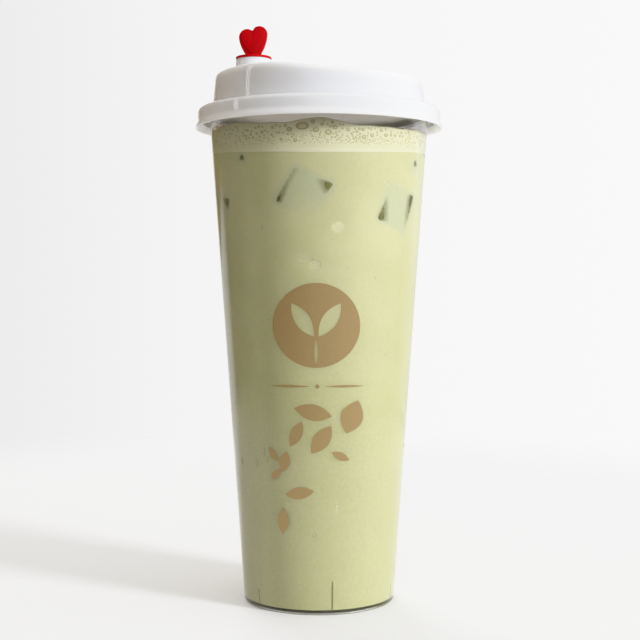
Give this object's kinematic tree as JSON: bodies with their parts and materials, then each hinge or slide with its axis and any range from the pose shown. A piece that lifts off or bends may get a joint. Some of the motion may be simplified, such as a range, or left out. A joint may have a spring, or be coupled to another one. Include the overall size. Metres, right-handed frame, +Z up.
{
  "type": "iced matcha latte in a takeaway cup",
  "caption": "Iced green tea latte with a froth layer in a tall clear cup, with a white press-on lid whose drinking spout is shut by a red heart-shaped plug.",
  "frame": {"origin": "centre of the cup's foot ring, on the surface that the cup stands on", "axes": "+Z up along the cup; the printed front faces -Y; the drinking spout is at -X"},
  "size_m": [0.095, 0.095, 0.2214],
  "materials": {
    "clear_plastic": "clear gloss",
    "latte": "wet, opaque",
    "froth": "foamy",
    "ice": "wet ice",
    "water": "clear water",
    "print": "satin ink",
    "white_plastic": "gloss",
    "red_plastic": "gloss"
  },
  "bodies": {
    "root": {"cup": "clear_plastic", "latte": "latte", "froth": "froth", "lid": "white_plastic", "plug": "red_plastic"}
  },
  "joints": []
}
